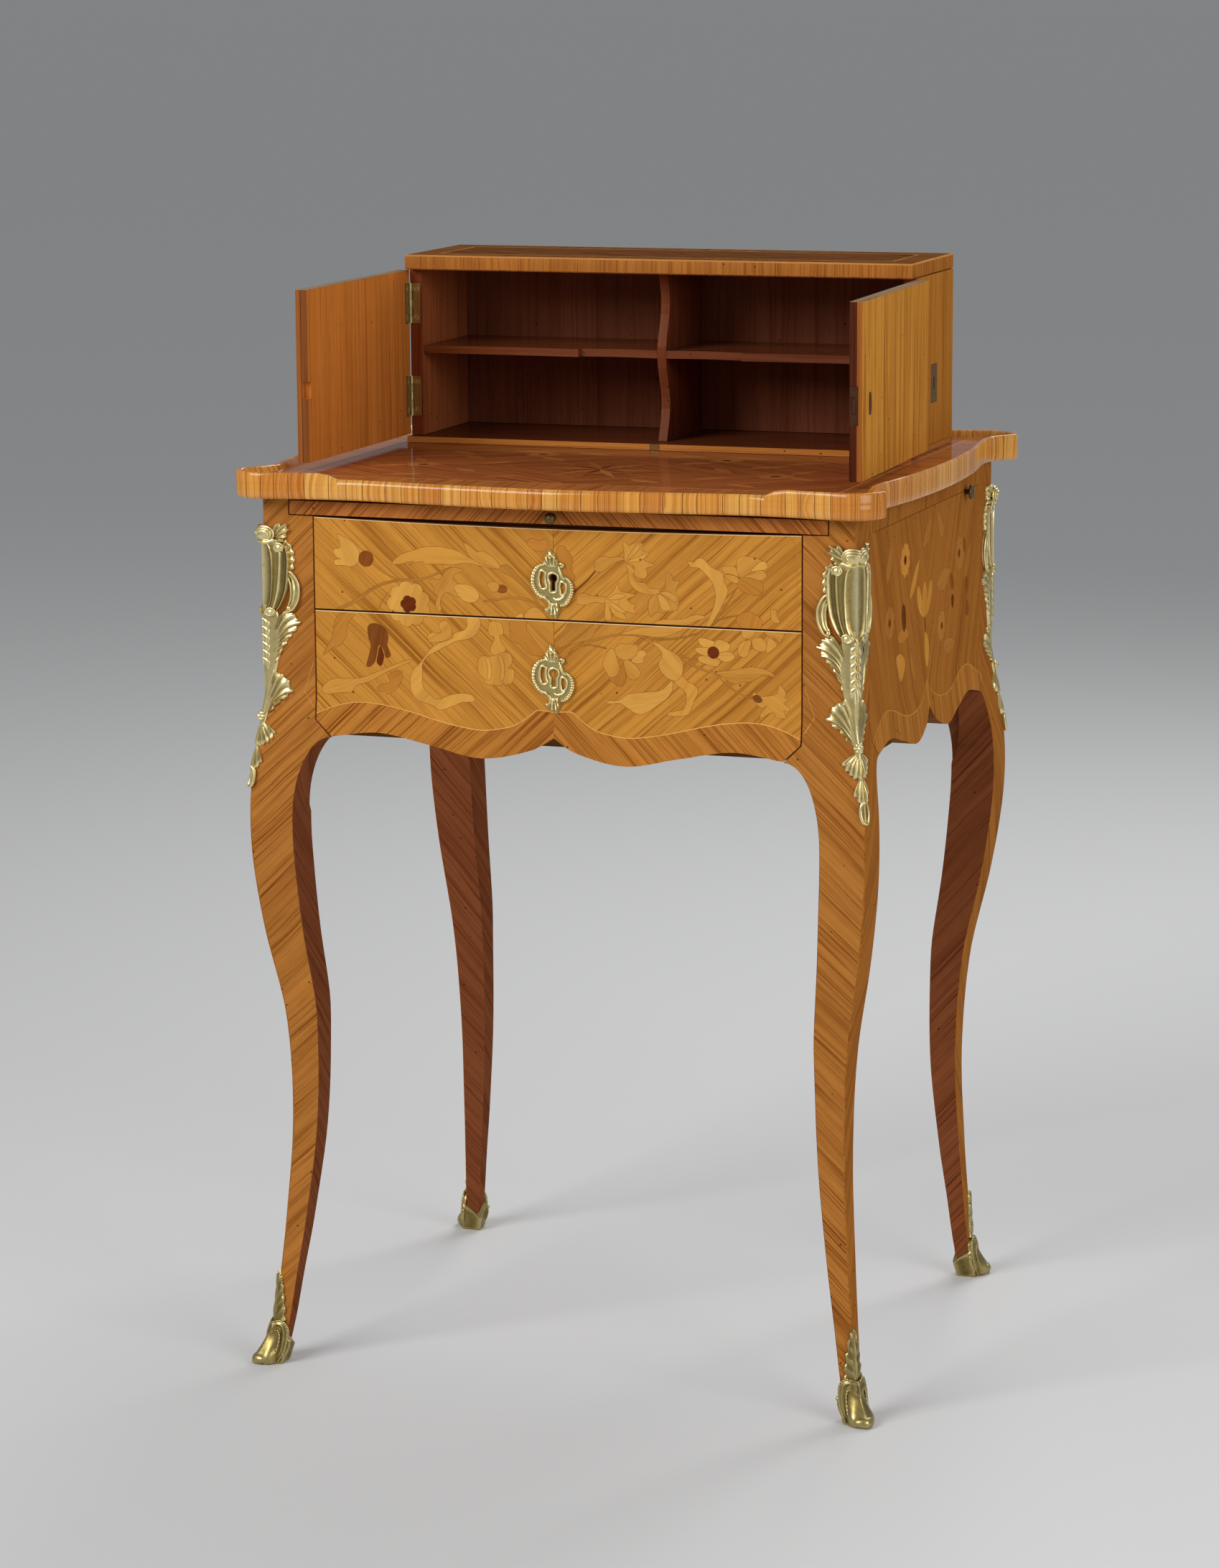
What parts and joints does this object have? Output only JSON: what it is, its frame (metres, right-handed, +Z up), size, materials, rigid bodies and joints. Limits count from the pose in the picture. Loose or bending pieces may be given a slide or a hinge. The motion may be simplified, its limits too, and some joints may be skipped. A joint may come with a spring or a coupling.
{
  "type": "lady's writing table",
  "caption": "Small cabriole-legged writing table with two drawers behind a shaped front, a pull-out writing slide and an open two-door cabinet on its top, with gilt mounts.",
  "frame": {"origin": "on the floor below the middle of the table", "axes": "+Z up, +X to the right of someone sitting at the table, the front towards -Y"},
  "size_m": [0.541, 0.467, 0.899],
  "materials": {
    "tulipwood_veneer": "polished",
    "top_veneer": "polished",
    "cabinet_veneer": "polished",
    "carcass_wood": "bare",
    "gilt_bronze": "aged gilding",
    "dark_brass": "tarnished",
    "lock_steel": "dull"
  },
  "bodies": {
    "table": {"leg_front_left": "tulipwood_veneer", "leg_front_right": "tulipwood_veneer", "leg_back_left": "tulipwood_veneer", "leg_back_right": "tulipwood_veneer", "chute_front_left": "gilt_bronze", "chute_front_right": "gilt_bronze", "chute_back_left": "gilt_bronze", "chute_back_right": "gilt_bronze", "sabot_front_left": "gilt_bronze", "sabot_front_right": "gilt_bronze", "sabot_back_left": "gilt_bronze", "sabot_back_right": "gilt_bronze", "side_panel_left": "tulipwood_veneer", "side_panel_right": "tulipwood_veneer", "back_panel": "carcass_wood", "slide_dustboard": "carcass_wood", "drawer_dustboard": "carcass_wood", "case_bottom": "carcass_wood", "table_top": "top_veneer", "top_lip": "tulipwood_veneer", "cabinet_top": "cabinet_veneer", "cabinet_floor": "cabinet_veneer", "cabinet_back": "cabinet_veneer", "cabinet_side_left": "cabinet_veneer", "cabinet_side_right": "cabinet_veneer", "cabinet_divider": "cabinet_veneer", "cabinet_shelf_left": "cabinet_veneer", "cabinet_shelf_right": "cabinet_veneer", "door_strike_plate": "dark_brass", "cabinet_side_plate": "dark_brass", "left_lower_hinge_case_leaf": "dark_brass", "left_lower_hinge_pin": "dark_brass", "left_upper_hinge_case_leaf": "dark_brass", "left_upper_hinge_pin": "dark_brass", "right_lower_hinge_case_leaf": "dark_brass", "right_lower_hinge_pin": "dark_brass", "right_upper_hinge_case_leaf": "dark_brass", "right_upper_hinge_pin": "dark_brass"},
    "writing_slide": {"writing_slide": "tulipwood_veneer", "slide_knob": "dark_brass"},
    "upper_drawer": {"upper_drawer_front": "tulipwood_veneer", "upper_drawer_box": "carcass_wood", "upper_drawer_bottom": "carcass_wood", "upper_drawer_lock": "lock_steel", "upper_escutcheon": "gilt_bronze"},
    "upper_bolt": {"upper_lock_bolt": "dark_brass"},
    "lower_drawer": {"lower_drawer_front": "tulipwood_veneer", "lower_drawer_box": "carcass_wood", "lower_drawer_bottom": "carcass_wood", "lower_escutcheon": "gilt_bronze"},
    "left_door": {"door_left": "cabinet_veneer", "left_lower_hinge_door_leaf": "dark_brass", "left_upper_hinge_door_leaf": "dark_brass"},
    "right_door": {"door_right": "cabinet_veneer", "right_lower_hinge_door_leaf": "dark_brass", "right_upper_hinge_door_leaf": "dark_brass", "door_lock": "lock_steel", "door_keyhole_rim": "dark_brass"},
    "door_bolt": {"door_lock_bolt": "dark_brass"},
    "release_knob": {"release_knob": "dark_brass"}
  },
  "joints": [
    {"name": "writing_slide_pull", "type": "slide", "parent": "table", "child": "writing_slide", "axis": [0, -1, 0], "range_m": [0, 0.24]},
    {"name": "upper_drawer_pull", "type": "slide", "parent": "table", "child": "upper_drawer", "axis": [0, -1, 0], "range_m": [0, 0.25]},
    {"name": "lower_drawer_pull", "type": "slide", "parent": "table", "child": "lower_drawer", "axis": [0, -1, 0], "range_m": [0, 0.25]},
    {"name": "upper_bolt_throw", "type": "slide", "parent": "upper_drawer", "child": "upper_bolt", "axis": [0, 0, 1], "range_m": [0, 0.006]},
    {"name": "left_door_swing", "type": "hinge", "parent": "table", "child": "left_door", "pos_m": [-0.2219, 0.0543, 0.8159], "axis": [0, 0, -1], "range_deg": [-90, 87]},
    {"name": "right_door_swing", "type": "hinge", "parent": "table", "child": "right_door", "pos_m": [0.2219, 0.0543, 0.8159], "axis": [0, 0, 1], "range_deg": [-92, 83]},
    {"name": "door_bolt_throw", "type": "slide", "parent": "right_door", "child": "door_bolt", "axis": [0.0349, -0.9994, 0], "range_m": [0, 0.005]},
    {"name": "release_press", "type": "slide", "parent": "table", "child": "release_knob", "axis": [-1, 0, 0], "range_m": [0, 0.003], "stiffness_N_per_m": 300}
  ]
}
